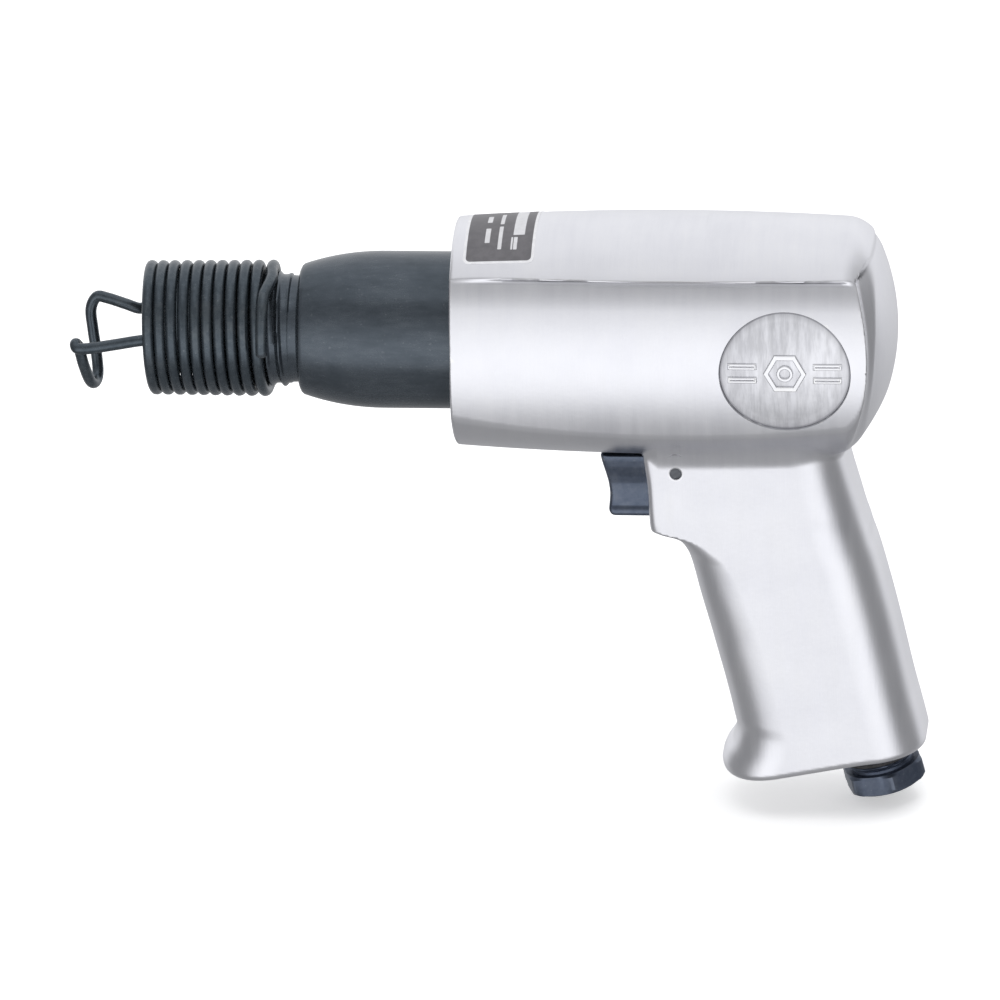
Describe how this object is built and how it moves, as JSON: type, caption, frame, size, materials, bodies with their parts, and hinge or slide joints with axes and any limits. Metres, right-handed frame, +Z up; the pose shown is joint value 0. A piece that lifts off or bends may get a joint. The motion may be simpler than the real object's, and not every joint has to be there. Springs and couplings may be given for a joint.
{
  "type": "pneumatic air hammer",
  "caption": "Pistol-grip air hammer: barrel with a shank bore and a coil-spring chisel retainer, domed aluminium housing, sliding trigger and a threaded air inlet under the grip.",
  "frame": {"origin": "mouth of the chisel shank bore, on the barrel axis, at the barrel's nose face", "axes": "-X along the barrel towards the chisel, +X towards the rear of the housing, +Y across the tool, +Z up, away from the grip"},
  "size_m": [0.2119, 0.0518, 0.155],
  "materials": {
    "cast_aluminium": "polished casting, fine brushed grain",
    "black_steel": "black oxide, satin",
    "spring_steel": "black oiled spring wire",
    "trigger_steel": "blue-black, semi-gloss",
    "inlet_steel": "blue-black, satin",
    "pin_steel": "black oxide, matt",
    "ground_steel": "ground",
    "plated_steel": "zinc plated",
    "brass": "turned",
    "rubber": "matt",
    "name_plate": "printed foil with a silver border"
  },
  "bodies": {
    "frame": {"housing": "cast_aluminium", "barrel": "black_steel", "lock_washer": "plated_steel", "valve_block": "ground_steel", "valve_cover": "ground_steel", "valve_dowels": "ground_steel", "valve_o_ring": "rubber", "rear_washer": "plated_steel", "trigger_pin": "pin_steel", "throttle_bushing": "brass", "bushing_o_rings": "rubber", "stem_o_ring": "rubber", "throttle_spring": "plated_steel", "inlet_bushing": "inlet_steel", "inlet_o_ring": "rubber", "inlet_screen": "plated_steel", "name_plate": "name_plate"},
    "retainer": {"retainer_spring": "spring_steel"},
    "piston": {"piston": "ground_steel"},
    "valve_disc": {"valve_disc": "ground_steel"},
    "trigger": {"trigger": "trigger_steel"},
    "throttle": {"throttle_stem": "ground_steel", "throttle_seal": "rubber"}
  },
  "joints": [
    {"name": "trigger_slide", "type": "slide", "parent": "frame", "child": "trigger", "axis": [1, 0, 0], "range_m": [0, 0.0045], "stiffness_N_per_m": 1200, "springref_m": -0.002, "deforming": ["throttle_spring"]},
    {"name": "throttle_slide", "type": "slide", "parent": "frame", "child": "throttle", "axis": [1, 0, 0], "range_m": [0, 0.0045]},
    {"name": "piston_slide", "type": "slide", "parent": "frame", "child": "piston", "axis": [-1, 0, 0], "range_m": [0, 0.0665]},
    {"name": "valve_disc_slide", "type": "slide", "parent": "frame", "child": "valve_disc", "axis": [1, 0, 0], "range_m": [-0.0005, 0.0005]},
    {"name": "retainer_unscrew", "type": "slide", "parent": "frame", "child": "retainer", "axis": [-1, 0, 0], "range_m": [0, 0.0186]}
  ],
  "couplings": [
    {"joint": "throttle_slide", "follows": "trigger_slide", "ratio": 1}
  ]
}
